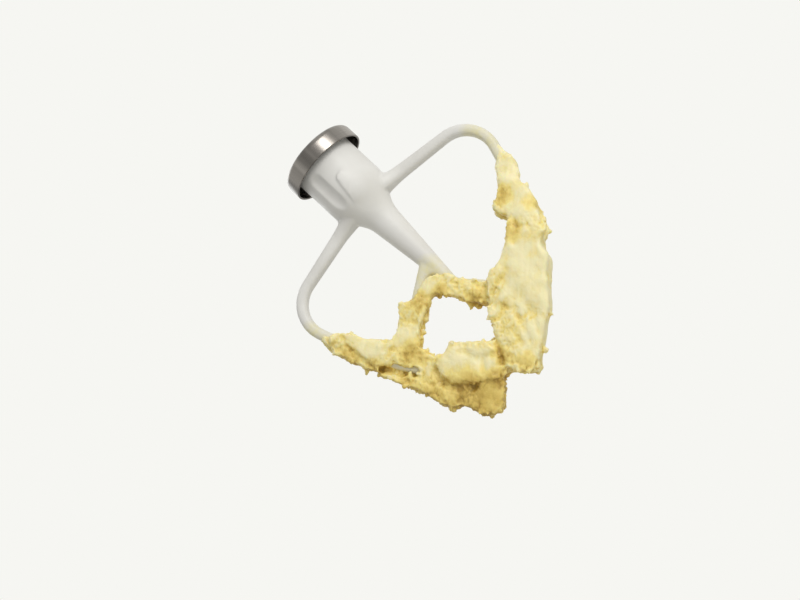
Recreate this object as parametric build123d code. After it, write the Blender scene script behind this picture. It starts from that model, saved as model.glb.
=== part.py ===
from build123d import *
import os
from functools import partial
from math import acos, atan2, cos, degrees, hypot, radians, sin

# Flat beater for a stand mixer: a coated aluminium casting, a pressed steel collar
# over its hub, and the batter that clings to it.
# Millimetres and degrees. The origin is the centre of the drive bore's mouth, +Z points
# out of the bore, X runs across the beater and Y through its thickness.

# Loop and arms
LOOP_WIDTH = 140.0
BODY_LENGTH = 154.2
BAR_WIDTH = 5.9
BAR_DEPTH = 8.4
BAR_ROUNDING = 2.6
ARM_ROOT_DROP = 37.7
ARM_ROOT_WIDTH = 8.2
CORNER_DROP = 64.3
CORNER_RADIUS = 17.7
SIDE_RADIUS = 250.0
BOTTOM_RADIUS = 45.6
CROTCH_RADIUS = 3.2

# Gusset that deepens each arm towards the hub
GUSSET_START = 9.0
GUSSET_WAIST = 19.0
GUSSET_END = 36.0
GUSSET_DEPTH = 20.0
GUSSET_WAIST_DEPTH = 11.0
GUSSET_ROUNDING = 2.9

# Hub and shaft
HUB_RADIUS = 17.5
HUB_LENGTH = 30.2
SHAFT_TOP_DROP = 54.2
SHAFT_TOP_RADIUS = 8.4
SHAFT_END_DROP = 99.2
SHAFT_END_RADIUS = 3.8
SHAFT_WEB_INSET = 0.9
HUB_WEB_INSET = 0.15

# Ribs: one leaves the shaft high on the left, the other carries the shaft's end down to the right
LEFT_RIB_DROP = 84.4
LEFT_RIB_SLOPE = 30.9
RIGHT_RIB_DROP = 103.9
RIGHT_RIB_SLOPE = 51.2
RIGHT_RIB_BEND = 15.0
RIB_WIDTH = 6.0

# Drive bore with the track for the shaft's cross pin
BORE_RADIUS = 6.45
BORE_DEPTH = 30.0
PIN_TRACK_WIDTH = 4.6
PIN_TRACK_RADIUS = 10.4
PIN_TRACK_DROP = 20.0
PIN_TRACK_TURN = 70.0

# Pad over the pin track and the scoop beside it, at angles round the hub from its front
PAD_RISE = 1.5
PAD_TOP_DROP = 23.2
PAD_LENGTH = 17.0
PAD_TOP_ANGLE = -3.0
PAD_FOOT_ANGLE = -12.5
PAD_FADE_ANGLE = 34.0
PAD_CORNER = 3.0
SCOOP_ANGLE = -33.0
SCOOP_RADIUS = 7.0
SCOOP_DEPTH = 1.7
SCOOP_TOP_DROP = 17.0
SCOOP_LENGTH = 19.0

# Collar, staked on a spigot on top of the hub
COLLAR_RADIUS = 22.3
COLLAR_HEIGHT = 10.2
COLLAR_WALL = 1.0
COLLAR_SHOULDER = 3.2
SPIGOT_RADIUS = 12.0
SPIGOT_CLEARANCE = 0.1
STAKE_LIP = 1.0
STAKE_HEIGHT = 1.0

HALF_BAR = BAR_WIDTH / 2
LOOP_BOTTOM = -BODY_LENGTH + HALF_BAR
COLLAR_TOP = -STAKE_HEIGHT
HUB_TOP = COLLAR_TOP - COLLAR_WALL

# Batter round the loop, strand by strand: its rise in front of the bar, its rise behind, or 0 where
# it hangs on the front only, and its stations. Each station has its distance from the loop's lowest
# point as a share of half the loop, positive to the right, its shift out of the loop, and how far it
# covers the bar on either side.
LOOP_BATTER = {
    "right_film": (1.4, 1.4, [
        (0.577, 0.0, 0.4),
        (0.536, 0.4, 0.9),
        (0.495, -1.0, 3.2),
        (0.449, -3.0, 4.0),
        (0.415, -3.6, 2.6),
    ]),
    "right_shoulder": (4.2, 3.7, [
        (0.475, -3.6, 0.4),
        (0.447, -3.2, 3.8),
        (0.419, -4.2, 7.4),
        (0.383, -2.4, 7.4),
        (0.337, -3.2, 7.0),
        (0.300, -4.4, 4.6),
    ]),
    "right_wad": (6.6, 5.2, [
        (0.372, -1.6, 1.6),
        (0.350, -2.6, 6.6),
        (0.316, -3.2, 7.8),
        (0.281, -6.6, 8.4),
        (0.235, -10.6, 12.6),
        (0.189, -12.0, 13.0),
        (0.128, -10.6, 13.2),
        (0.066, -8.0, 12.4),
        (0.015, -2.8, 12.0),
        (-0.022, 1.6, 11.6),
        (-0.050, 2.4, 6.4),
    ]),
    "lower_wad": (5.6, 2.8, [
        (-0.020, -2.6, 1.0),
        (-0.051, -3.4, 4.6),
        (-0.085, -1.8, 8.0),
        (-0.128, -4.2, 8.6),
        (-0.168, -3.2, 9.8),
        (-0.204, -4.2, 7.4),
        (-0.245, -3.4, 0.8),
    ]),
    "hanging_wad": (2.8, 3.8, [
        (-0.046, 2.0, 1.0),
        (-0.077, 3.0, 6.6),
        (-0.112, 8.6, 11.6),
        (-0.153, 8.0, 9.0),
        (-0.194, 8.0, 7.4),
        (-0.235, 6.6, 4.0),
    ]),
    "left_strand": (2.2, 3.6, [
        (-0.214, 5.6, 4.6),
        (-0.255, 3.0, 5.4),
        (-0.316, 1.8, 5.6),
        (-0.378, 1.8, 4.4),
        (-0.440, 1.4, 3.2),
        (-0.500, 1.2, 2.4),
        (-0.546, 0.8, 1.4),
        (-0.577, 0.4, 0.4),
    ]),
    "left_flap": (3.8, 0, [
        (-0.536, -1.4, -1.0),
        (-0.495, -2.8, 1.4),
        (-0.434, -2.2, 3.8),
        (-0.393, -1.2, 6.0),
        (-0.368, -1.0, 3.6),
    ]),
}
LOOP_RUN_OUT = 0.015

# Batter on the ribs, in the same way: each distance is a share of the rib, and the shift is to its left
LEFT_RIB_BATTER = (2.8, 2.3, [
    (0.18, 0.0, 0.8),
    (0.32, 0.4, 2.4),
    (0.50, -1.9, 2.3),
    (0.68, -2.4, 1.8),
    (0.89, -2.2, 3.2),
])
RIGHT_RIB_BATTER = (2.8, 0.8, [
    (0.23, -1.0, 1.6),
    (0.33, -1.6, 2.6),
    (0.47, -1.8, 3.2),
    (0.64, -1.0, 5.0),
])
RIB_RUN_OUT = 0.08
CREST_SHARE = 0.75


def polar(centre, radius, angle):
    """Point at an angle on a circle in the beater's plane, as (x, z)."""
    return (centre[0] + radius * cos(radians(angle)), centre[1] + radius * sin(radians(angle)))


def heading(start, end):
    """Angle of the line from one point to another."""
    return degrees(atan2(end[1] - start[1], end[0] - start[0]))


def round_hub(radius, angle):
    """Point at a radius and an angle round the hub from its front, as (x, y)."""
    return (radius * sin(radians(angle)), -radius * cos(radians(angle)))


def loop_centres():
    """Centres of the corner, side and bottom arcs of the loop's right half, tangent to each other."""
    corner = (LOOP_WIDTH / 2 - HALF_BAR - CORNER_RADIUS, -CORNER_DROP)
    bottom = (0.0, LOOP_BOTTOM + BOTTOM_RADIUS)
    to_corner = SIDE_RADIUS - CORNER_RADIUS
    to_bottom = SIDE_RADIUS - BOTTOM_RADIUS
    span = hypot(corner[0] - bottom[0], corner[1] - bottom[1])
    along = (to_bottom**2 - to_corner**2 + span**2) / (2 * span)
    turn = degrees(acos(along / to_bottom))
    side = polar(bottom, to_bottom, heading(bottom, corner) + turn)
    return corner, side, bottom


def tangent_angle(point, centre, radius):
    """Angle on a circle where a line from a point to the left of it touches its upper side."""
    distance = hypot(point[0] - centre[0], point[1] - centre[1])
    return heading(centre, point) - degrees(acos(radius / distance))


def loop_half(offset, root_drop):
    """Right half of the loop at an offset from its centreline: arm, corner, side and bottom."""
    corner, side, bottom = loop_centres()
    start = (0.0, -root_drop)
    corner_start = tangent_angle(start, corner, CORNER_RADIUS + offset)
    side_start = heading(side, corner)
    side_end = heading(side, bottom)
    arm = Line(start, polar(corner, CORNER_RADIUS + offset, corner_start))
    bend = CenterArc(corner, CORNER_RADIUS + offset, corner_start, side_start - corner_start)
    flank = CenterArc(side, SIDE_RADIUS + offset, side_start, side_end - side_start)
    foot = CenterArc(bottom, BOTTOM_RADIUS + offset, side_end, -90 - side_end)
    return Wire([arm, bend, flank, foot])


def loop_whole(offset, root_drop):
    """Both halves of the loop as one closed outline."""
    half = loop_half(offset, root_drop)
    return Curve() + half.edges() + mirror(half, about=Plane.YZ).edges()


def meet_loop(start, angle):
    """Where a ray in the beater's plane meets the loop's centreline."""
    ray = Line(start, polar(start, BODY_LENGTH, angle))
    hits = [edge.distance_to_with_closest_points(ray) for edge in loop_whole(0, ARM_ROOT_DROP).edges()]
    nearest = min(hits, key=lambda hit: hit[0])
    return (nearest[1].X, nearest[1].Y)


def left_rib_line():
    """Centreline of the left rib, from the shaft's axis to the loop."""
    start = (0.0, -LEFT_RIB_DROP)
    return Wire([Line(start, meet_loop(start, 180 + LEFT_RIB_SLOPE))])


def right_rib_line():
    """Centreline of the shaft's end as it bends into the right rib, to the loop."""
    start = (0.0, -LEFT_RIB_DROP)
    bend = (0.0, -RIGHT_RIB_DROP)
    return FilletPolyline(start, bend, meet_loop(bend, -RIGHT_RIB_SLOPE), radius=RIGHT_RIB_BEND).wire()


def hub_tab():
    """Flat tab inside the hub, which the arms' upper edges run into."""
    return Pos(0, -HUB_LENGTH) * Rectangle(2 * (HUB_RADIUS - HUB_WEB_INSET), HUB_RADIUS)


def shaft_web():
    """Flat web inside the shaft, from the arms to the ribs."""
    wide = SHAFT_TOP_RADIUS - SHAFT_WEB_INSET
    narrow = RIB_WIDTH / 2
    end = RIGHT_RIB_DROP - RIGHT_RIB_BEND / 2
    right = [(wide, -ARM_ROOT_DROP), (wide, -SHAFT_TOP_DROP), (narrow, -end)]
    left = [(-x, z) for x, z in reversed(right)]
    return make_face(Polyline(right + left, close=True))


def beater_plan():
    """Plan of the loop, arms, ribs and webs, with rounded crotches."""
    half_root = ARM_ROOT_WIDTH / 2
    plan = make_face(loop_whole(HALF_BAR, ARM_ROOT_DROP - half_root))
    plan -= make_face(loop_whole(-HALF_BAR, ARM_ROOT_DROP + half_root))
    plan += hub_tab()
    plan += shaft_web()
    plan += trace(left_rib_line(), RIB_WIDTH)
    plan += trace(right_rib_line(), RIB_WIDTH)
    grown = offset(plan, CROTCH_RADIUS, kind=Kind.ARC)
    return offset(grown, -CROTCH_RADIUS, kind=Kind.ARC)


def beater_plate(plan):
    """Loop, arms, ribs and webs as one flat casting with rounded edges."""
    plate = extrude(Plane.XZ * plan, BAR_DEPTH / 2, both=True)
    faces = plate.faces().filter_by(Axis.Y).sort_by(Axis.Y)
    return fillet(faces[0].edges() + faces[-1].edges(), BAR_ROUNDING)


def hub_and_shaft():
    """Spigot, hub, taper and shaft as one turned form."""
    lip = SPIGOT_RADIUS + STAKE_LIP
    shaft_end = (SHAFT_END_RADIUS, -SHAFT_END_DROP)
    shaft_top = (SHAFT_TOP_RADIUS, -SHAFT_TOP_DROP)
    hub_end = (HUB_RADIUS, -HUB_LENGTH)
    top = Polyline((0, 0), (lip, 0), (lip, COLLAR_TOP), (SPIGOT_RADIUS, COLLAR_TOP), (SPIGOT_RADIUS, HUB_TOP),
                   (HUB_RADIUS, HUB_TOP), hub_end)
    shaft = Line(shaft_top, shaft_end)
    taper = Spline(hub_end, shaft_top, tangents=[(0, -1), tuple(shaft % 0)[:2]])
    tip = CenterArc((0, -SHAFT_END_DROP), SHAFT_END_RADIUS, 0, -90)
    axis = Line((0, -SHAFT_END_DROP - SHAFT_END_RADIUS), (0, 0))
    profile = make_face(Curve() + [top, taper, shaft, tip, axis])
    return revolve(Plane.XZ * profile, Axis.Z)


def arm_gusset():
    """Root of the right arm, deeper towards the hub and running out into the bar."""
    arm = loop_half(0, ARM_ROOT_DROP).edges()[0]
    slimming = (ARM_ROOT_WIDTH - BAR_WIDTH) / arm.length
    stations = [(GUSSET_START, GUSSET_DEPTH), (GUSSET_WAIST, GUSSET_WAIST_DEPTH), (GUSSET_END, BAR_DEPTH)]
    sections = []
    for reach, depth in stations:
        height = ARM_ROOT_WIDTH - slimming * reach
        sections.append(across(arm, reach) * RectangleRounded(depth, height, GUSSET_ROUNDING))
    return loft(sections)


def across(path, distance):
    """Plane across a path in the beater's plane, with its own X through the thickness."""
    spot = path.position_at(distance, position_mode=PositionMode.LENGTH)
    ahead = path.tangent_at(distance, position_mode=PositionMode.LENGTH)
    return Plane(origin=(spot.X, 0, spot.Y), x_dir=(0, 1, 0), z_dir=(ahead.X, 0, ahead.Y))


def pad_fan(edge_angle):
    """Fan from the hub's axis out past the pad, from the pad's edge to where it fades out."""
    reach = HUB_RADIUS + 2 * PAD_RISE
    spread = PAD_FADE_ANGLE - edge_angle
    rim = [round_hub(reach / cos(radians(spread / 4)), edge_angle + share * spread) for share in (0, 0.5, 1)]
    return make_face(Polyline([(0, 0)] + rim, close=True))


def track_pad():
    """Raised pad over the pin track: a step at its left edge, fading out round to the right and below."""
    top = -PAD_TOP_DROP
    foot = top - PAD_LENGTH
    fan = loft([Pos(0, 0, foot) * pad_fan(PAD_FOOT_ANGLE), Pos(0, 0, top) * pad_fan(PAD_TOP_ANGLE)], ruled=True)
    lean = Vector(*round_hub(PAD_RISE / sin(radians(PAD_FADE_ANGLE - PAD_TOP_ANGLE)), PAD_FADE_ANGLE - 90))
    hinge = Axis((0, 0, foot), (-lean.Y, lean.X, 0))
    leaning_hub = hub_and_shaft().rotate(hinge, degrees(atan2(lean.length, PAD_LENGTH)))
    pad = (fan & leaning_hub).solid()
    edge_spot = Vector(*round_hub(HUB_RADIUS, PAD_TOP_ANGLE), top)
    corner = pad.edges().sort_by_distance(edge_spot)[0]
    return fillet(corner, PAD_CORNER)


def drive_bore():
    """Blind bore and the track that the shaft's cross pin runs up and turns into."""
    bore = Pos(0, 0, -BORE_DEPTH) * extrude(Circle(BORE_RADIUS), BORE_DEPTH)
    floor = -PIN_TRACK_DROP - PIN_TRACK_WIDTH / 2
    slot = Rectangle(PIN_TRACK_WIDTH, PIN_TRACK_RADIUS, align=(Align.CENTER, Align.MAX))
    entry = Pos(0, 0, floor) * extrude(slot, -floor)
    leg = Pos(0, -PIN_TRACK_DROP) * Rectangle(PIN_TRACK_RADIUS, PIN_TRACK_WIDTH, align=(Align.MIN, Align.CENTER))
    turn = Rot(0, 0, -90) * revolve(Plane.XZ * leg, Axis.Z, PIN_TRACK_TURN)
    return bore + entry + turn


def hub_scoop():
    """Shallow round-ended scoop in the hub's front."""
    spot = round_hub(HUB_RADIUS + SCOOP_RADIUS - SCOOP_DEPTH, SCOOP_ANGLE)
    top = Pos(*spot, -SCOOP_TOP_DROP) * Sphere(SCOOP_RADIUS)
    bottom = Pos(*spot, -SCOOP_TOP_DROP - SCOOP_LENGTH) * Sphere(SCOOP_RADIUS)
    middle = Pos(*spot, -SCOOP_TOP_DROP - SCOOP_LENGTH) * extrude(Circle(SCOOP_RADIUS), SCOOP_LENGTH)
    return top + middle + bottom


def beater_body(plan):
    """The whole casting."""
    gusset = arm_gusset()
    body = hub_and_shaft() + beater_plate(plan) + gusset + mirror(gusset, about=Plane.YZ)
    body += track_pad()
    body -= hub_scoop()
    body -= drive_bore()
    return body


def shaft_collar():
    """Pressed steel cup with a rounded shoulder, seated on the hub and held under the stake."""
    cup = Pos(0, COLLAR_TOP) * Rectangle(COLLAR_RADIUS, COLLAR_HEIGHT, align=(Align.MIN, Align.MAX))
    cup = fillet(cup.vertices().group_by(Axis.X)[-1].sort_by(Axis.Y)[-1], COLLAR_SHOULDER)
    inside = Pos(0, HUB_TOP) * Rectangle(COLLAR_RADIUS - COLLAR_WALL, COLLAR_HEIGHT, align=(Align.MIN, Align.MAX))
    inside = fillet(inside.vertices().group_by(Axis.X)[-1].sort_by(Axis.Y)[-1], COLLAR_SHOULDER - COLLAR_WALL)
    hole = Rectangle(SPIGOT_RADIUS + SPIGOT_CLEARANCE, 2 * COLLAR_HEIGHT, align=(Align.MIN, Align.CENTER))
    return revolve(Plane.XZ * (cup - inside - hole), Axis.Z)


def loop_station(share):
    """Spot on the loop at a share of its half from the lowest point, and the direction out of the loop."""
    half = loop_half(0, ARM_ROOT_DROP)
    spot = half @ (1 - abs(share))
    ahead = half % (1 - abs(share))
    side = 1 if share >= 0 else -1
    return Vector(side * spot.X, spot.Y), Vector(-side * ahead.Y, ahead.X)


def rib_station(line, share):
    """Spot on a rib at a share of its length, and the direction to its left side."""
    ahead = line % share
    return line @ share, Vector(-ahead.Y, ahead.X)


def batter_outline(place, stations, bar_width, share):
    """Closed outline of batter along a bar, with a share of its full spread."""
    near, far = [], []
    for distance, shift, cover in stations:
        spot, out = place(distance)
        spread = share * (bar_width / 2 + cover)
        near.append(spot + out * (shift - spread))
        far.append(spot + out * (shift + spread))
    return make_face(Spline(near + far[::-1], periodic=True))


def drawn_in(stations, run_out):
    """Stations drawn together, so that the crest stops short of both ends."""
    first, last = stations[0][0], stations[-1][0]
    middle = (first + last) / 2
    scale = 1 - 2 * run_out / abs(last - first)
    return [(middle + scale * (distance - middle), *rest) for distance, *rest in stations]


def batter_side(strands, plan, side):
    """Batter on one side of the bars' middle: filled between the bars and mounded on their face."""
    spread = Sketch() + [base for base, crest, rise in strands]
    fill = extrude(Plane.XZ * (spread - plan - shaft_shadow()), side * BAR_DEPTH / 2)
    face = Plane.XZ.offset(side * BAR_DEPTH / 2)
    mounds = [loft([face * base, face.offset(side * rise) * crest], ruled=True) for base, crest, rise in strands]
    return fill + mounds


def batter(plan):
    """Batter round the loop and the ribs, one side on the other."""
    strips = [(loop_station, strand, BAR_WIDTH, LOOP_RUN_OUT) for strand in LOOP_BATTER.values()]
    for line, strand in ((left_rib_line(), LEFT_RIB_BATTER), (right_rib_line(), RIGHT_RIB_BATTER)):
        strips.append((partial(rib_station, line), strand, RIB_WIDTH, RIB_RUN_OUT))
    front, back = [], []
    for place, (front_rise, back_rise, stations), bar_width, run_out in strips:
        base = batter_outline(place, stations, bar_width, 1.0)
        crest = batter_outline(place, drawn_in(stations, run_out), bar_width, CREST_SHARE)
        front.append((base, crest, front_rise))
        if back_rise:
            back.append((base, crest, back_rise))
    return batter_side(front, plan, 1) + batter_side(back, plan, -1)


def shaft_shadow():
    """Plan of the shaft, which is rounder than its web."""
    right = [(SHAFT_TOP_RADIUS, -SHAFT_TOP_DROP), (SHAFT_END_RADIUS, -SHAFT_END_DROP)]
    left = [(-x, z) for x, z in reversed(right)]
    return make_face(Polyline(right + left, close=True)) + Pos(0, -SHAFT_END_DROP) * Circle(SHAFT_END_RADIUS)


os.makedirs("parts", exist_ok=True)
beater = beater_plan()
export_step(beater_body(beater), "parts/beater_body.step")
export_step(shaft_collar(), "parts/shaft_collar.step")
export_step(batter(beater), "parts/batter.step")
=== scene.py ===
import math
import random

import bmesh
import bpy
from mathutils import Matrix, Quaternion, Vector, noise
from mathutils.bvhtree import BVHTree


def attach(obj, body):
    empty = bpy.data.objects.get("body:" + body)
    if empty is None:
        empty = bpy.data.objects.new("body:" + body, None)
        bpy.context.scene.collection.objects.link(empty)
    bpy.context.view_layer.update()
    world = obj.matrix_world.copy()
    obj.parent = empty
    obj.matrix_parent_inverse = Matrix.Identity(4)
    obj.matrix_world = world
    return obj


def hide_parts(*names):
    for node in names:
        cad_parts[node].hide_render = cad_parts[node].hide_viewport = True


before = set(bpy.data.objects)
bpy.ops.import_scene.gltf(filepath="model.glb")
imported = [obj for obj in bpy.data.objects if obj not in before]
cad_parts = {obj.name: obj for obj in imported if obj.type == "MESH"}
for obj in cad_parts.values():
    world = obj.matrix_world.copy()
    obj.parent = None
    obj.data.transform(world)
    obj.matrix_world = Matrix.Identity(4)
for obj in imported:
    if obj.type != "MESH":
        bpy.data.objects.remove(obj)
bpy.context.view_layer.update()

bl_info = {
    "name": "Mixer Flat Beater Looks",
    "version": (1, 0, 0),
    "blender": (4, 5, 0),
    "location": "View3D > Sidebar > Beater",
    "description": "Coated casting, steel collar and clinging batter of a stand mixer's flat beater",
    "category": "Object",
}

MM = 0.001

# Height in millimetres of the level that the batter's outlines are measured from
DATUM = -2.2

# Direction of the beater's lower side as it leans in the raised head; batter facing this way gets painted
# shade, and the fill light is weakest from it
UNDERSIDE = Vector((-0.734, 0.153, -0.662))

# Point that the softboxes face
BEATER_MIDDLE = Vector((0.0, 0.0, -0.085))

# Batter pads, in millimetres: the outline in the beater's plane as (x, z), then the depth range in y.
# Each pad is one wad or smear of batter; negative y is the side that the camera sees.
BATTER_PADS = {
    "right_film": (
        [(69, -62), (65, -66), (61, -73), (55, -80), (50, -86), (56, -92), (65, -89), (69, -81), (70, -70)],
        (-6.0, 6.0),
    ),
    "right_shoulder": (
        [(54, -81), (48, -88), (42, -90), (41, -95), (42, -100), (37, -105), (40, -114), (52, -114),
         (60, -106), (62, -97), (62, -90), (59, -84)],
        (-8.5, 8.0),
    ),
    "right_wad": (
        [(40, -101), (35, -107), (28, -111), (15, -113), (12, -115), (7, -121), (14, -138), (26, -146),
         (36, -136), (44, -130), (45, -123), (53, -118), (57, -110), (56, -103)],
        (-11.0, 9.5),
    ),
    "foot_wad": (
        [(16, -118), (6, -123), (-2, -128), (-3, -134), (-8, -139), (-14, -150), (-9, -160), (-4, -166),
         (3, -162), (14, -154), (24, -149), (33, -139), (32, -124)],
        (-10.5, 9.0),
    ),
    "lower_wad": (
        [(-34, -122), (-28, -124), (-22, -123), (-16, -129), (-9, -137), (-4, -142), (-10, -152),
         (-18, -156), (-27, -148), (-36, -146), (-40, -136), (-39, -127)],
        (-10.0, 7.0),
    ),
    "hanging_wad": (
        [(-43, -136), (-50, -139), (-48, -146), (-41, -151), (-39, -159), (-33, -165), (-28, -165),
         (-19, -158), (-10, -152), (-16, -140)],
        (-7.0, 8.0),
    ),
    "left_strand": (
        [(-70, -68), (-64, -70), (-60, -76), (-57, -86), (-55, -98), (-50, -108), (-42, -118), (-38, -128),
         (-41, -139), (-50, -140), (-51, -130), (-56, -118), (-60, -107), (-64, -96), (-69, -82)],
        (-1.0, 8.0),
    ),
    "left_edge": (
        [(-69, -69), (-65, -71), (-62, -82), (-60, -95), (-57.5, -107), (-51, -117), (-44, -122.5),
         (-37, -124), (-36, -137), (-49, -138), (-52, -127), (-57, -117), (-61, -105), (-65, -94),
         (-68, -83)],
        (-6.4, -2.0),
    ),
    "left_flap": (
        [(-64, -73), (-59, -75), (-55, -80), (-49, -90), (-44, -97), (-46, -101), (-54, -103), (-60, -107),
         (-60, -96), (-61, -86)],
        (-8.0, -1.0),
    ),
    "left_rib_smear": (
        [(-10, -88), (-16, -90), (-20, -92), (-24, -89), (-28, -89), (-32, -93), (-40, -98), (-46, -99),
         (-56, -103), (-52.5, -106.5), (-47.5, -115), (-43, -123), (-38, -128), (-32, -124), (-34, -117),
         (-34.5, -111.5), (-30.3, -107.7), (-22.3, -103.4), (-12.5, -98.4), (-8, -95.5)],
        (-7.2, 4.8),
    ),
    "right_rib_smear": (
        [(-10, -87), (-3, -90), (2, -97), (4, -103), (10, -111), (15, -117), (6, -124), (2, -120), (-3, -116),
         (-3, -112), (-6, -107), (-8, -102), (-13, -97)],
        (-7.0, 5.2),
    ),
}

# Stretched, smooth stretches of the batter as (x, z, reach) in millimetres
SMOOTH_PATCHES = [
    (34, -121, 17), (54, -100, 12), (24, -133, 15), (60, -82, 10), (-53, -93, 9), (8, -149, 6), (41, -131, 9),
    (28, -144, 9), (14, -154, 8), (68, -70, 9), (-28, -134, 11), (-20, -142, 10), (-29, -156, 8),
    (-37, -104, 7), (-10, -94, 6), (0, -156, 7),
]

# Ends where the batter thins out to nothing, as (x, z, reach) in millimetres
THIN_ENDS = [(69, -63, 17), (-70, -66, 7), (-1, -88, 5), (-9, -85, 5)]

# Wetter, browner batter, darkened in part as painted shade where it lies low on the dark side, as (x, z,
# reach) in millimetres
DEEP_AND_SHADED_PATCHES = [
    (-31, -156, 18), (-40, -147, 13), (-49, -136, 12), (-56, -121, 10), (-62, -104, 9), (-66, -90, 9),
    (38, -106, 9), (-10, -147, 6), (57, -104, 6), (-40, -112, 9), (-18, -96, 7), (2, -117, 6), (-8, -101, 6),
    (-3, -158, 6), (50, -90, 7), (-34, -145, 15), (-22, -155, 10),
]

# The brownest batter, low down where it hangs, darkened in part as painted shade from the wad above, as (x,
# z, reach) in millimetres
BROWN_AND_SHADED_PATCHES = [(-33, -151, 13), (-24, -157, 11)]

# What each cause adds to the batter's tone, which runs from 0 when pale to 1 in a deep tear; the underside,
# hollow and ridge terms are painted shade and highlight, and the wet and brown terms are partly painted shade
ROUGH_TONE = 0.26
WET_AND_SHADE_TONE = 0.46
BROWN_AND_SHADE_TONE = 0.22
UNDERSIDE_PAINTED_SHADE = 0.24
HOLLOW_PAINTED_SHADE = 0.36
RIDGE_PAINTED_HIGHLIGHT = 0.2

# Thin film on the coating where the batter has slid off, as (x, z, reach) in millimetres
FILM_PATCHES = [
    (68, -68, 14), (64, -57, 10), (-69, -65, 8), (-3, -88, 9), (-11, -86, 9), (-20, -91, 8), (-50, -118, 13),
]

# Places on the hub where the coating has run into a soft blend, as (x, z, reach) in millimetres
SOFT_BLENDS = [(6, -39, 10), (9, -22, 6)]

# What lies nearer the camera than this is on the hub's front
HUB_FRONT = -6 * MM

# Radii between which the painted shade inside the cup gives way to bright steel
CUP_SHADE_RADII = (20.4 * MM, 21.5 * MM)

# Folds on the front, where one wad laps another: points (x, z), width and depth in millimetres
FOLDS = [
    ([(-6, -138), (-10, -147), (-17, -156)], 1.6, 2.4),
    ([(-31, -148), (-37, -142), (-40, -134), (-39, -127)], 1.8, 3.0),
    ([(-61, -84), (-60, -95), (-60, -104)], 1.3, 1.8),
    ([(5, -124), (14, -121), (24, -119)], 1.3, 1.5),
    ([(6, -150), (9, -142), (13, -136)], 1.1, 1.1),
    ([(14, -146), (18, -139)], 1.0, 0.9),
    ([(-2, -131), (3, -133), (9, -131)], 1.1, 1.4),
    ([(41, -99), (45, -102), (43, -108), (36, -112)], 1.4, 1.3),
    ([(18, -141), (12, -142.5), (7, -144.5)], 0.9, 1.0),
    ([(18, -144), (14, -148.5), (11.5, -153)], 0.9, 0.9),
    ([(10, -145), (7.5, -150), (5, -154)], 0.8, 0.9),
    ([(4.5, -146), (1, -151)], 0.8, 0.8),
    ([(22, -121.5), (14, -124), (8, -125.5)], 0.9, 1.0),
    ([(-24, -129), (-20, -135), (-19, -140)], 1.0, 0.9),
    ([(-22, -146), (-17, -141), (-12, -144)], 1.3, 1.4),
]


class CoatingSettings(bpy.types.PropertyGroup):
    """Finish of the coated casting"""

    colour: bpy.props.FloatVectorProperty(
        name="Colour", description="Colour of the coating", subtype="COLOR", size=3,
        default=(0.80, 0.795, 0.765)
    )
    shade: bpy.props.FloatVectorProperty(
        name="Shade", description="Slightly duller tone that the coating drifts to", subtype="COLOR", size=3,
        default=(0.735, 0.725, 0.69)
    )
    film: bpy.props.FloatVectorProperty(
        name="Film", description="Colour of the thin batter film on the coating", subtype="COLOR", size=3,
        default=(0.80, 0.75, 0.46)
    )
    film_reach: bpy.props.FloatProperty(
        name="Film Reach", description="Distance from the batter at which its film ends", unit="LENGTH",
        default=9.0 * MM
    )
    roughness: bpy.props.FloatProperty(
        name="Roughness", description="Roughness of the coating", subtype="FACTOR", min=0, max=1, default=0.44
    )
    voxel: bpy.props.FloatProperty(
        name="Skin Size", description="Size of the skin's facets", unit="LENGTH", default=0.55 * MM
    )
    flow_passes: bpy.props.IntProperty(
        name="Flow Passes", description="Smoothing passes that round the coating over edges", default=7
    )
    blend_passes: bpy.props.IntProperty(
        name="Blend Passes", description="More smoothing passes where the coating has run", default=50
    )


class CollarSettings(bpy.types.PropertyGroup):
    """Finish of the steel collar"""

    # Kept dark as a painted reflection of dark surroundings
    colour: bpy.props.FloatVectorProperty(
        name="Colour", description="Colour of the steel", subtype="COLOR", size=3,
        default=(0.245, 0.228, 0.211)
    )
    rim_ease: bpy.props.FloatProperty(
        name="Rim Ease", description="Width of the eased rims", unit="LENGTH", default=0.3 * MM
    )
    roughness: bpy.props.FloatProperty(
        name="Roughness", description="Roughness of the steel", subtype="FACTOR", min=0, max=1, default=0.24
    )


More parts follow.
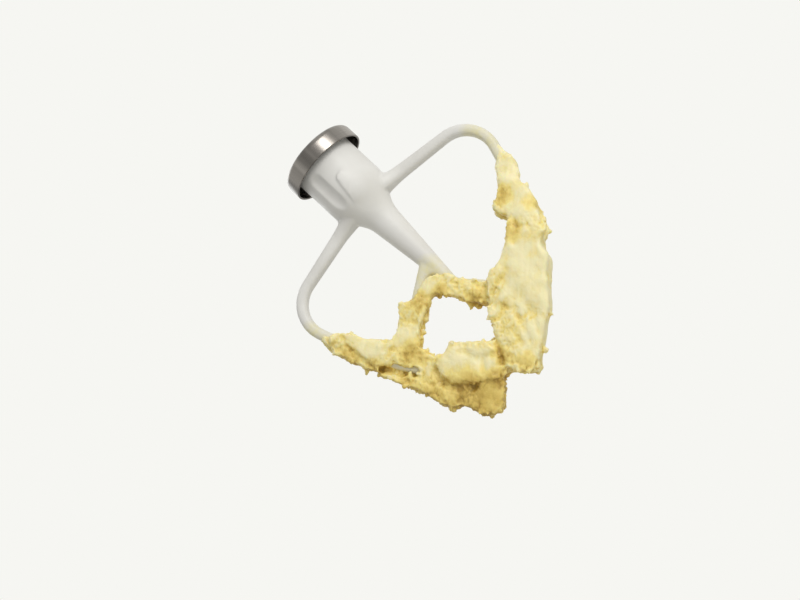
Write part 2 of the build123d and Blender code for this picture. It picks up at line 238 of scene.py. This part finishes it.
class BatterSettings(bpy.types.PropertyGroup):
    """Shape and finish of the clinging batter"""

    pale: bpy.props.FloatVectorProperty(
        name="Pale", description="Colour of the smeared, aerated batter", subtype="COLOR", size=3,
        default=(0.97, 0.88, 0.53)
    )
    deep: bpy.props.FloatVectorProperty(
        name="Deep", description="Colour of the wetter batter", subtype="COLOR", size=3,
        default=(0.93, 0.77, 0.27)
    )
    # Crease and Torn are reached mostly through painted shade in hollows, on undersides and low down
    crease: bpy.props.FloatVectorProperty(
        name="Crease", description="Colour in the torn creases", subtype="COLOR", size=3,
        default=(0.72, 0.53, 0.13)
    )
    torn: bpy.props.FloatVectorProperty(
        name="Torn", description="Colour in the deepest tears", subtype="COLOR", size=3,
        default=(0.44, 0.28, 0.05)
    )
    wad_voxel: bpy.props.FloatProperty(
        name="Wad Size", description="Facet size of the first, rough wads", unit="LENGTH", default=1.0 * MM
    )
    wad_passes: bpy.props.IntProperty(
        name="Wad Passes", description="Smoothing passes that round the wads", default=7
    )
    crumb_passes: bpy.props.IntProperty(
        name="Crumb Passes", description="Smoothing passes under the fine crumbs", default=1
    )
    drawn_passes: bpy.props.IntProperty(
        name="Drawn Passes", description="More smoothing passes where the batter is drawn out", default=9
    )
    # Passes of the smoothed copy that the painted crease shade is measured against
    crease_shade_passes: bpy.props.IntProperty(
        name="Crease Passes", description="Smoothing passes that the creases are measured against", default=24
    )
    # Depth at which the painted crease shade is darkest
    crease_shade_reach: bpy.props.FloatProperty(
        name="Crease Reach", description="Depth at which a crease is darkest", unit="LENGTH",
        default=0.55 * MM
    )
    swell: bpy.props.FloatProperty(
        name="Swell", description="Growth of the wads after smoothing", unit="LENGTH", default=-0.15 * MM
    )
    run_out: bpy.props.FloatProperty(
        name="Run Out", description="How much the batter thins at its ends", unit="LENGTH", default=2.2 * MM
    )
    crumb_voxel: bpy.props.FloatProperty(
        name="Crumb Size", description="Facet size of the finished batter", unit="LENGTH", default=0.6 * MM
    )
    lump_height: bpy.props.FloatProperty(
        name="Lump Height", description="Height of the large lumps", unit="LENGTH", default=2.2 * MM
    )
    grain_height: bpy.props.FloatProperty(
        name="Grain Height", description="Height of the fine crumbs", unit="LENGTH", default=0.45 * MM
    )
    crumbs: bpy.props.IntProperty(name="Crumbs", description="Loose crumbs on the torn edges", default=300)
    seed: bpy.props.IntProperty(name="Seed", description="Seed of the lumps and crumbs", default=11)


class StageSettings(bpy.types.PropertyGroup):
    """Camera, lights and floor"""

    azimuth: bpy.props.FloatProperty(
        name="Azimuth", description="Camera's turn about the shaft", subtype="ANGLE",
        default=math.radians(2.424)
    )
    elevation: bpy.props.FloatProperty(
        name="Elevation", description="Camera's height angle", subtype="ANGLE", default=math.radians(-15.514)
    )
    roll: bpy.props.FloatProperty(
        name="Roll", description="Camera's roll, as the beater leans in the raised head", subtype="ANGLE",
        default=math.radians(-46.612)
    )
    distance: bpy.props.FloatProperty(
        name="Distance", description="Camera's distance from its aim", unit="LENGTH", default=1.0
    )
    aim: bpy.props.FloatVectorProperty(
        name="Aim", description="Point in the middle of the picture", subtype="TRANSLATION", size=3,
        default=(-0.02523, 0.00658, -0.08672)
    )
    lens: bpy.props.FloatProperty(name="Lens", description="Focal length in millimetres", default=86.76)
    floor_drop: bpy.props.FloatProperty(
        name="Floor Drop", description="Floor's depth under the hub", unit="LENGTH", default=0.56
    )
    backdrop: bpy.props.FloatVectorProperty(
        name="Backdrop", description="Colour of the backdrop", subtype="COLOR", size=3,
        default=(0.922, 0.922, 0.888)
    )
    fill: bpy.props.FloatProperty(name="Fill", description="Level of the light from all round", default=0.45)
    key_power: bpy.props.FloatProperty(
        name="Key Power", description="Power of the key softbox", unit="POWER", default=2.35
    )
    rim_power: bpy.props.FloatProperty(
        name="Rim Power", description="Power of the back softbox", unit="POWER", default=1.1
    )
    spread: bpy.props.FloatProperty(
        name="Spread", description="Angle that the softboxes' grids let through", subtype="ANGLE",
        default=math.radians(80)
    )


def node(tree, kind, inputs=None, **values):
    """New shader node with its fields and unlinked inputs set."""
    made = tree.nodes.new(kind)
    for name, value in values.items():
        setattr(made, name, value)
    for name, value in (inputs or {}).items():
        made.inputs[name].default_value = value
    return made


def new_material(name):
    """Empty material with its Principled shader, as (material, tree, shader)."""
    material = bpy.data.materials.new(name)
    material.use_nodes = True
    tree = material.node_tree
    return material, tree, tree.nodes["Principled BSDF"]


def noise_node(tree, coordinates, scale, detail=2.0, roughness=0.5):
    """Noise texture read on the given coordinates."""
    texture = node(tree, "ShaderNodeTexNoise", {"Scale": scale, "Detail": detail, "Roughness": roughness})
    tree.links.new(coordinates, texture.inputs["Vector"])
    return texture.outputs["Fac"]


def remap(tree, value, low, high, to_low=0.0, to_high=1.0):
    """Value stretched from one range to another, clamped."""
    inputs = {"From Min": low, "From Max": high, "To Min": to_low, "To Max": to_high}
    ramp = node(tree, "ShaderNodeMapRange", inputs)
    tree.links.new(value, ramp.inputs["Value"])
    return ramp.outputs["Result"]


def mix_colours(tree, share, first, second):
    """Mix of two colours, each a constant or a socket."""
    mix = node(tree, "ShaderNodeMix", data_type="RGBA")
    tree.links.new(share, mix.inputs["Factor"])
    for socket, colour in ((mix.inputs[6], first), (mix.inputs[7], second)):
        if isinstance(colour, bpy.types.NodeSocket):
            tree.links.new(colour, socket)
        else:
            socket.default_value = (*colour, 1.0)
    return mix.outputs[2]


def bump_node(tree, height, strength, distance, normal=None):
    """Bump from a height, on top of another bump if one is given."""
    bump = node(tree, "ShaderNodeBump", {"Strength": strength, "Distance": distance})
    tree.links.new(height, bump.inputs["Height"])
    if normal is not None:
        tree.links.new(normal, bump.inputs["Normal"])
    return bump.outputs["Normal"]


def coating_material(settings):
    """Satin white nylon coating: faint mottling, orange peel and a little batter film near the batter."""
    material, tree, shader = new_material("white_coating")
    place = node(tree, "ShaderNodeTexCoord").outputs["Object"]
    drift = remap(tree, noise_node(tree, place, 42.0, 3.0), 0.35, 0.7)
    colour = mix_colours(tree, drift, settings.colour, settings.shade)
    film = node(tree, "ShaderNodeAttribute", attribute_name="film").outputs["Fac"]
    streak = remap(tree, noise_node(tree, place, 260.0, 4.0, 0.65), 0.3, 0.62, 0.35, 1.0)
    smear = node(tree, "ShaderNodeMath", operation="MULTIPLY")
    tree.links.new(film, smear.inputs[0])
    tree.links.new(streak, smear.inputs[1])
    colour = mix_colours(tree, smear.outputs[0], colour, settings.film)
    tree.links.new(colour, shader.inputs["Base Color"])
    satin = remap(tree, noise_node(tree, place, 90.0, 2.0), 0.3, 0.7,
                  settings.roughness - 0.06, settings.roughness + 0.08)
    tree.links.new(satin, shader.inputs["Roughness"])
    peel = noise_node(tree, place, 620.0, 2.0)
    tree.links.new(bump_node(tree, peel, 0.06, 0.2 * MM), shader.inputs["Normal"])
    shader.inputs["Specular IOR Level"].default_value = 0.36
    return material


def collar_material(settings):
    """Turned steel: fine rings round the axis, blotches of painted reflection round the cup, and painted
    shade, dark and dull, inside the cup.
    """
    material, tree, shader = new_material("collar_steel")
    place = node(tree, "ShaderNodeTexCoord").outputs["Object"]
    split = node(tree, "ShaderNodeSeparateXYZ")
    tree.links.new(place, split.inputs["Vector"])
    flat = node(tree, "ShaderNodeCombineXYZ")
    tree.links.new(split.outputs["X"], flat.inputs["X"])
    tree.links.new(split.outputs["Y"], flat.inputs["Y"])
    radius = node(tree, "ShaderNodeVectorMath", operation="LENGTH")
    tree.links.new(flat.outputs["Vector"], radius.inputs[0])
    rings = node(tree, "ShaderNodeCombineXYZ")
    tree.links.new(radius.outputs["Value"], rings.inputs["X"])
    tree.links.new(split.outputs["Z"], rings.inputs["Z"])
    turning = noise_node(tree, rings.outputs["Vector"], 5200.0, 3.0, 0.7)
    # Painted reflection: blotches that make the steel darker and lighter round the cup
    painted_reflection_blotch = remap(tree, noise_node(tree, flat.outputs["Vector"], 62.0, 3.0, 0.55), 0.36, 0.64)
    # Painted shade inside the cup
    inside = remap(tree, radius.outputs["Value"], *CUP_SHADE_RADII)
    steel = mix_colours(tree, painted_reflection_blotch, [0.5 * c for c in settings.colour], [1.5 * c for c in settings.colour])
    tree.links.new(mix_colours(tree, inside, (0.05, 0.048, 0.045), steel), shader.inputs["Base Color"])
    shader.inputs["Metallic"].default_value = 1.0
    polish = remap(tree, turning, 0.3, 0.7, settings.roughness - 0.06, settings.roughness + 0.09)
    tree.links.new(polish, shader.inputs["Roughness"])
    tree.links.new(bump_node(tree, turning, 0.12, 0.05 * MM), shader.inputs["Normal"])
    shader.inputs["Anisotropic"].default_value = 0.45
    return material


def batter_material(settings):
    """Creamed batter: pale smears, wetter patches, brown tears and a sugary grain; its tone carries painted
    shade in hollows, on undersides and where it hangs low, and painted highlight on ridges.
    """
    material, tree, shader = new_material("batter")
    place = node(tree, "ShaderNodeTexCoord").outputs["Object"]
    tone = node(tree, "ShaderNodeAttribute", attribute_name="tone").outputs["Fac"]
    drift = remap(tree, noise_node(tree, place, 150.0, 4.0, 0.6), 0.3, 0.7, -0.16, 0.16)
    mottled = node(tree, "ShaderNodeMath", operation="ADD", use_clamp=True)
    tree.links.new(tone, mottled.inputs[0])
    tree.links.new(drift, mottled.inputs[1])
    # Tone ramp: its darker end partly paints shade in hollows, on undersides and low down
    ramp = node(tree, "ShaderNodeValToRGB")
    stops = [(0.0, settings.pale), (0.35, settings.deep), (0.7, settings.crease), (1.0, settings.torn)]
    while len(ramp.color_ramp.elements) < len(stops):
        ramp.color_ramp.elements.new(0.5)
    for stop, (place_on_ramp, colour) in zip(ramp.color_ramp.elements, stops):
        stop.position = place_on_ramp
        stop.color = (*colour, 1.0)
    tree.links.new(mottled.outputs[0], ramp.inputs["Fac"])
    tree.links.new(ramp.outputs["Color"], shader.inputs["Base Color"])
    gloss = remap(tree, noise_node(tree, place, 210.0, 3.0), 0.3, 0.7, 0.36, 0.6)
    tree.links.new(gloss, shader.inputs["Roughness"])
    grain = noise_node(tree, place, 1500.0, 3.0, 0.6)
    crumb = noise_node(tree, place, 520.0, 4.0, 0.6)
    coarse = bump_node(tree, crumb, 0.35, 0.5 * MM)
    tree.links.new(bump_node(tree, grain, 0.25, 0.2 * MM, coarse), shader.inputs["Normal"])
    shader.inputs["Subsurface Weight"].default_value = 0.25
    shader.inputs["Subsurface Radius"].default_value = (1.0, 0.75, 0.3)
    shader.inputs["Subsurface Scale"].default_value = 2.0 * MM
    shader.inputs["Specular IOR Level"].default_value = 0.45
    return material


def new_piece(name, shape):
    """Object for a bmesh, placed at the origin."""
    mesh = bpy.data.meshes.new(name)
    shape.to_mesh(mesh)
    shape.free()
    piece = bpy.data.objects.new(name, mesh)
    bpy.context.scene.collection.objects.link(piece)
    return piece


def merged_copy(node_name, name):
    """Copy of a node's mesh with its loose triangles joined."""
    shape = bmesh.new()
    shape.from_mesh(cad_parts[node_name].data)
    bmesh.ops.remove_doubles(shape, verts=shape.verts, dist=0.002 * MM)
    return new_piece(name, shape)


def reskin(piece, voxel):
    """Replaces a piece's mesh by one even skin round all its overlapping shells."""
    skin = piece.modifiers.new("skin", "REMESH")
    skin.mode = "VOXEL"
    skin.voxel_size = voxel
    evaluated = piece.evaluated_get(bpy.context.evaluated_depsgraph_get())
    mesh = bpy.data.meshes.new_from_object(evaluated)
    piece.modifiers.clear()
    old = piece.data
    piece.data = mesh
    bpy.data.meshes.remove(old)
    mesh.name = piece.name


def settle(shape, passes, verts=None):
    """Smooths a bmesh, or some of its vertices, a number of times."""
    verts = verts or shape.verts
    for _ in range(passes):
        bmesh.ops.smooth_vert(
            shape, verts=verts, factor=0.5, use_axis_x=True, use_axis_y=True, use_axis_z=True
        )
    shape.normal_update()


def dress(piece, material):
    """Gives a piece its material and its body, and shades it smooth."""
    piece.data.materials.clear()
    piece.data.materials.append(material)
    piece.data.shade_smooth()
    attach(piece, "root")


def set_point_values(mesh, name, values):
    """Stores one number for each vertex of a mesh."""
    attribute = mesh.attributes.new(name, "FLOAT", "POINT")
    attribute.data.foreach_set("value", values)


class BEATER_OT_coated_casting(bpy.types.Operator):
    """Make the coated casting: loop, arms, ribs, shaft and hub in one flowing skin"""

    bl_idname = "beater.coated_casting"
    bl_label = "Coated Casting"

    def execute(self, context):
        settings = context.scene.beater_coating
        casting = merged_copy("beater_body", "coated_casting")
        reskin(casting, settings.voxel)
        shape = bmesh.new()
        shape.from_mesh(casting.data)
        settle(shape, settings.flow_passes)
        hub_front = [vert for vert in shape.verts
                     if vert.co.y < HUB_FRONT and nearness(vert.co, SOFT_BLENDS) > 0]
        settle(shape, settings.blend_passes, hub_front)
        shape.to_mesh(casting.data)
        shape.free()
        dress(casting, coating_material(settings))
        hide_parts("beater_body")
        return {"FINISHED"}


class BEATER_OT_shaft_collar(bpy.types.Operator):
    """Make the steel collar, with its rims eased"""

    bl_idname = "beater.shaft_collar"
    bl_label = "Shaft Collar"

    def execute(self, context):
        settings = context.scene.beater_collar
        collar = merged_copy("shaft_collar", "turned_collar")
        shape = bmesh.new()
        shape.from_mesh(collar.data)
        rims = [edge for edge in shape.edges
                if edge.is_manifold and edge.calc_face_angle() > math.radians(40)]
        bmesh.ops.bevel(
            shape, geom=rims, offset=settings.rim_ease, offset_type="OFFSET", segments=3, profile=0.5,
            affect="EDGES", clamp_overlap=True, material=-1
        )
        shape.to_mesh(collar.data)
        shape.free()
        dress(collar, collar_material(settings))
        collar.data.set_sharp_from_angle(angle=math.radians(38))
        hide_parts("shaft_collar")
        return {"FINISHED"}


def add_pad(shape, outline, depths):
    """Adds one wad of batter: its outline in the beater's plane, given its depth."""
    front, back = depths
    corners = [shape.verts.new((x * MM, front * MM, (z + DATUM) * MM)) for x, z in outline]
    face = shape.faces.new(corners)
    grown = bmesh.ops.extrude_face_region(shape, geom=[face], use_keep_orig=True)
    moved = [item for item in grown["geom"] if isinstance(item, bmesh.types.BMVert)]
    bmesh.ops.translate(shape, verts=moved, vec=(0, (back - front) * MM, 0))


def nearness(point, spots):
    """How near a place lies to the middle of any of some spots, from 0 to 1."""
    best = 0.0
    for x, z, reach in spots:
        gap = math.hypot(point.x / MM - x, point.z / MM - z - DATUM) / reach
        best = max(best, 1.0 - gap * gap)
    return best


def smoothness(point):
    """How far a place lies in the stretched, smooth batter, from 0 to 1."""
    return nearness(point, SMOOTH_PATCHES)


def chunk(point, scale):
    """Torn chunks: each has its own level and tilt, with a crease round it, from about -1 to 1."""
    spot = point * scale
    gaps, seeds = noise.voronoi(spot)
    level = noise.cell(seeds[0] * 7.0)
    tilt = (noise.cell_vector(seeds[0] * 11.0) * 2.0 - Vector((1.0, 1.0, 1.0))).dot(spot - seeds[0])
    crease = max(0.0, 1.0 - (gaps[1] - gaps[0]) / 0.3)
    return 0.45 * level + 0.7 * tilt - 0.6 * crease


def wavering(point, scale, reach):
    """Point pushed about by noise, so that the clumps lose their even spacing."""
    return point + noise.noise_vector(point * scale) * reach


def lump_rise(point, normal, height):
    """Height of the large lumps at a point of the batter."""
    rough = (1.0 - smoothness(point)) * (1.0 - 0.4 * abs(normal.y))
    broad = noise.fractal(point * 95.0, 1.0, 2.0, 2)
    large = chunk(wavering(point, 160.0, 2.5 * MM), 150.0)
    small = chunk(wavering(point, 300.0, 1.2 * MM), 330.0)
    return height * (0.4 * broad + rough * (0.65 * large + 0.3 * small))


def fold_depth(point):
    """Depth of the folds at a point of the batter's front."""
    flat = Vector((point.x / MM, point.z / MM - DATUM))
    deepest = 0.0
    for line, width, depth in FOLDS:
        for start, end in zip(line, line[1:]):
            start, end = Vector(start), Vector(end)
            along = end - start
            share = min(1.0, max(0.0, (flat - start).dot(along) / along.length_squared))
            gap = (flat - start - along * share).length / width
            if gap < 2.5:
                deepest = max(deepest, depth * math.exp(-gap * gap))
    return deepest * MM


def grain_rise(point, normal, height):
    """Height of the fine crumbs and drawn-out fibres at a point of the batter."""
    smooth = smoothness(point)
    edge = 1.0 - 0.3 * abs(normal.y)
    crumbs = chunk(wavering(point, 420.0, 1.0 * MM), 420.0) + 0.3 * chunk(point, 850.0)
    along = Vector((point.x * 0.62 - point.z * 0.78, point.y, point.x * 0.78 + point.z * 0.62))
    fibres = noise.fractal(Vector((along.x * 520.0, along.y * 420.0, along.z * 70.0)), 1.0, 2.0, 3)
    return height * (crumbs * (1.0 - 0.85 * smooth) * edge + 0.5 * fibres * smooth)


def batter_tone(point, normal, depth):
    """Tone of the batter, from 0 where it is pale and smooth to 1 in a deep brown tear, with painted shade on
    undersides and in hollows and painted highlight on ridges.
    """
    rough = ROUGH_TONE * (1.0 - smoothness(point))
    # Wetter batter, with painted shade where it hangs low on the dark side
    wet_and_shade = WET_AND_SHADE_TONE * nearness(point, DEEP_AND_SHADED_PATCHES) + BROWN_AND_SHADE_TONE * nearness(point, BROWN_AND_SHADED_PATCHES)
    # Painted shade on faces turned to the lower side
    under = UNDERSIDE_PAINTED_SHADE * max(0.0, normal.dot(UNDERSIDE))
    # Painted shade in hollows, painted highlight on ridges
    painted_relief_shading = HOLLOW_PAINTED_SHADE * max(0.0, depth) + RIDGE_PAINTED_HIGHLIGHT * min(0.0, depth)
    return min(1.0, max(0.0, rough + wet_and_shade + under + painted_relief_shading))


def scatter_crumbs(shape, count, chance):
    """Adds small torn crumbs, in clusters, on the edges of the batter."""
    places = [(v.co.copy(), v.normal.copy()) for v in shape.verts
              if abs(v.normal.y) < 0.7 and smoothness(v.co) < 0.4 and noise.noise(v.co * 140.0) > 0.0]
    for _ in range(count):
        place, normal = chance.choice(places)
        size = 0.55 * MM + chance.random() ** 3 * 1.5 * MM
        spot = Matrix.Translation(place + normal * size * chance.uniform(-0.2, 0.5))
        axis = Vector((chance.uniform(-1, 1), chance.uniform(-1, 1), chance.uniform(0.1, 1))).normalized()
        turn = Quaternion(axis, chance.uniform(0, math.tau)).to_matrix().to_4x4()
        stretch = Matrix.Diagonal((chance.uniform(0.6, 1.8), chance.uniform(0.6, 1.2), 0.9, 1.0))
        bmesh.ops.create_icosphere(shape, subdivisions=1, radius=size, matrix=spot @ turn @ stretch)


class BEATER_OT_batter(bpy.types.Operator):
    """Make the batter that clings to the loop and the ribs"""

    bl_idname = "beater.batter"
    bl_label = "Clinging Batter"

    def execute(self, context):
        settings = context.scene.beater_batter
        chance = random.Random(settings.seed)
        noise.seed_set(settings.seed)
        shape = bmesh.new()
        for outline, depths in BATTER_PADS.values():
            add_pad(shape, outline, depths)
        bmesh.ops.recalc_face_normals(shape, faces=shape.faces)
        batter = new_piece("clinging_batter", shape)
        reskin(batter, settings.wad_voxel)

        shape = bmesh.new()
        shape.from_mesh(batter.data)
        settle(shape, settings.wad_passes)
        settle(shape, settings.drawn_passes, [vert for vert in shape.verts if smoothness(vert.co) > 0.1])
        for vert in shape.verts:
            rise = lump_rise(vert.co, vert.normal, settings.lump_height)
            fold = fold_depth(vert.co) if vert.normal.y < 0.3 else 0.0
            thin = nearness(vert.co, THIN_ENDS) * settings.run_out
            vert.co += vert.normal * (settings.swell + rise - fold - thin)
        shape.normal_update()
        scatter_crumbs(shape, settings.crumbs, chance)
        shape.to_mesh(batter.data)
        shape.free()
        reskin(batter, settings.crumb_voxel)

        shape = bmesh.new()
        shape.from_mesh(batter.data)
        settle(shape, settings.crumb_passes)
        calm_parts = [vert for vert in shape.verts if smoothness(vert.co) > 0.15]
        settle(shape, settings.drawn_passes, calm_parts)
        for vert in shape.verts:
            vert.co += vert.normal * grain_rise(vert.co, vert.normal, settings.grain_height)
        shape.normal_update()
        rough = [vert.co.copy() for vert in shape.verts]
        normals = [vert.normal.copy() for vert in shape.verts]
        # Depth under a smoothed copy: hollows get painted shade and ridges painted highlight, through the
        # tone
        calm = shape.copy()
        settle(calm, settings.crease_shade_passes)
        depths = [(soft.co - hard).dot(normal) for soft, hard, normal in zip(calm.verts, rough, normals)]
        calm.free()
        shape.to_mesh(batter.data)
        shape.free()
        tones = [batter_tone(place, normal, max(-1.0, min(1.5, depth / settings.crease_shade_reach)))
                 for place, normal, depth in zip(rough, normals, depths)]
        set_point_values(batter.data, "tone", tones)
        dress(batter, batter_material(settings))
        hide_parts("batter")
        return {"FINISHED"}


class BEATER_OT_batter_film(bpy.types.Operator):
    """Spread a thin film of batter on the coating close to the batter"""

    bl_idname = "beater.batter_film"
    bl_label = "Batter Film"

    def execute(self, context):
        casting = bpy.data.objects["coated_casting"]
        batter = bpy.data.objects["clinging_batter"]
        shape = bmesh.new()
        shape.from_mesh(batter.data)
        tree = BVHTree.FromBMesh(shape)
        reach = context.scene.beater_coating.film_reach
        film = []
        for vert in casting.data.vertices:
            found = tree.find_nearest(vert.co, reach)
            close = 0.0 if found[0] is None else (1.0 - found[3] / reach) ** 2
            film.append(max(close, nearness(vert.co, FILM_PATCHES)))
        shape.free()
        set_point_values(casting.data, "film", film)
        return {"FINISHED"}


def add_softbox(name, place, size, power, spread, colour):
    """Square gridded lamp that faces the middle of the beater."""
    lamp = bpy.data.lights.new(name, "AREA")
    lamp.shape = "SQUARE"
    lamp.size = size
    lamp.energy = power
    lamp.spread = spread
    lamp.color = colour
    box = bpy.data.objects.new(name, lamp)
    box.location = place
    box.rotation_mode = "QUATERNION"
    box.rotation_quaternion = (BEATER_MIDDLE - Vector(place)).to_track_quat("-Z", "Y")
    box.visible_camera = False
    bpy.context.scene.collection.objects.link(box)


def stage_world(settings):
    """World that is the pale backdrop to the eye and in reflections, and a plain fill light elsewhere."""
    world = bpy.data.worlds.new("studio")
    world.use_nodes = True
    tree = world.node_tree
    tree.nodes.clear()
    path = node(tree, "ShaderNodeLightPath")
    mirrored = node(tree, "ShaderNodeMath", operation="ADD")
    tree.links.new(path.outputs["Is Glossy Ray"], mirrored.inputs[0])
    tree.links.new(path.outputs["Is Transmission Ray"], mirrored.inputs[1])
    seen = node(tree, "ShaderNodeMath", operation="ADD", use_clamp=True)
    tree.links.new(path.outputs["Is Camera Ray"], seen.inputs[0])
    tree.links.new(mirrored.outputs[0], seen.inputs[1])
    backdrop = node(tree, "ShaderNodeBackground", {"Color": (*settings.backdrop, 1.0), "Strength": 1.0})
    sky = node(tree, "ShaderNodeTexCoord").outputs["Generated"]
    facing = node(tree, "ShaderNodeVectorMath", {1: -UNDERSIDE}, operation="DOT_PRODUCT")
    tree.links.new(sky, facing.inputs[0])
    level = remap(tree, facing.outputs["Value"], -1.0, 1.0, 0.45 * settings.fill, 1.55 * settings.fill)
    fill = node(tree, "ShaderNodeBackground", {"Color": (1.0, 0.99, 0.97, 1.0)})
    tree.links.new(level, fill.inputs["Strength"])
    mix = node(tree, "ShaderNodeMixShader")
    output = node(tree, "ShaderNodeOutputWorld")
    tree.links.new(seen.outputs[0], mix.inputs[0])
    tree.links.new(fill.outputs[0], mix.inputs[1])
    tree.links.new(backdrop.outputs[0], mix.inputs[2])
    tree.links.new(mix.outputs[0], output.inputs["Surface"])
    bpy.context.scene.world = world


def stage_floor(settings):
    """Wide pale floor under the part."""
    shape = bmesh.new()
    bmesh.ops.create_grid(shape, x_segments=1, y_segments=1, size=8.0,
                          matrix=Matrix.Translation((0, 0, -settings.floor_drop)))
    floor = new_piece("floor", shape)
    material, tree, shader = new_material("pale_floor")
    place = node(tree, "ShaderNodeTexCoord").outputs["Object"]
    drift = noise_node(tree, place, 3.0, 2.0)
    pale = mix_colours(tree, drift, (0.84, 0.84, 0.82), (0.87, 0.87, 0.85))
    tree.links.new(pale, shader.inputs["Base Color"])
    shader.inputs["Roughness"].default_value = 0.8
    floor.data.materials.append(material)


def stage_camera(settings):
    """Camera at the photograph's place, rolled as the beater leans."""
    flat = math.cos(settings.elevation)
    back = Vector((
        math.sin(settings.azimuth) * flat, -math.cos(settings.azimuth) * flat, math.sin(settings.elevation)
    ))
    camera = bpy.data.objects.new("camera", bpy.data.cameras.new("camera"))
    camera.data.lens = settings.lens
    camera.data.clip_start = 0.01
    camera.data.clip_end = 50.0
    camera.location = Vector(settings.aim) + back * settings.distance
    camera.rotation_mode = "QUATERNION"
    level = (-back).to_track_quat("-Z", "Y")
    camera.rotation_quaternion = level @ Quaternion((0, 0, 1), settings.roll)
    bpy.context.scene.collection.objects.link(camera)
    bpy.context.scene.camera = camera


class BEATER_OT_stage(bpy.types.Operator):
    """Set the floor, the light and the camera"""

    bl_idname = "beater.stage"
    bl_label = "Stage"

    def execute(self, context):
        settings = context.scene.beater_stage
        stage_world(settings)
        stage_floor(settings)
        add_softbox(
            "key_softbox", (1.0, -1.18, 0.25), 0.8, settings.key_power, settings.spread, (1.0, 0.985, 0.96)
        )
        add_softbox(
            "back_softbox", (-0.7, 1.2, 0.9), 1.0, settings.rim_power, settings.spread, (0.97, 0.985, 1.0)
        )
        stage_camera(settings)
        context.scene.view_settings.view_transform = "Standard"
        return {"FINISHED"}


class BEATER_PT_looks(bpy.types.Panel):
    """Sidebar panel that lists the beater's pieces"""

    bl_idname = "BEATER_PT_looks"
    bl_label = "Flat Beater"
    bl_space_type = "VIEW_3D"
    bl_region_type = "UI"
    bl_category = "Beater"

    def draw(self, context):
        for operator in OPERATORS:
            self.layout.operator(operator.bl_idname)
        for name in SETTINGS:
            settings = getattr(context.scene, name)
            box = self.layout.box()
            for field in settings.bl_rna.properties:
                if field.identifier not in ("name", "rna_type"):
                    box.prop(settings, field.identifier)


OPERATORS = (
    BEATER_OT_coated_casting,
    BEATER_OT_shaft_collar,
    BEATER_OT_batter,
    BEATER_OT_batter_film,
    BEATER_OT_stage,
)
SETTINGS = {
    "beater_coating": CoatingSettings,
    "beater_collar": CollarSettings,
    "beater_batter": BatterSettings,
    "beater_stage": StageSettings,
}


def register():
    for settings in SETTINGS.values():
        bpy.utils.register_class(settings)
    for name, settings in SETTINGS.items():
        setattr(bpy.types.Scene, name, bpy.props.PointerProperty(type=settings))
    for operator in OPERATORS:
        bpy.utils.register_class(operator)
    bpy.utils.register_class(BEATER_PT_looks)


def unregister():
    bpy.utils.unregister_class(BEATER_PT_looks)
    for operator in reversed(OPERATORS):
        bpy.utils.unregister_class(operator)
    for name in SETTINGS:
        delattr(bpy.types.Scene, name)
    for settings in reversed(SETTINGS.values()):
        bpy.utils.unregister_class(settings)


def main():
    register()
    bpy.ops.beater.coated_casting()
    bpy.ops.beater.shaft_collar()
    bpy.ops.beater.batter()
    bpy.ops.beater.batter_film()
    bpy.ops.beater.stage()


if __name__ == "__main__":
    main()
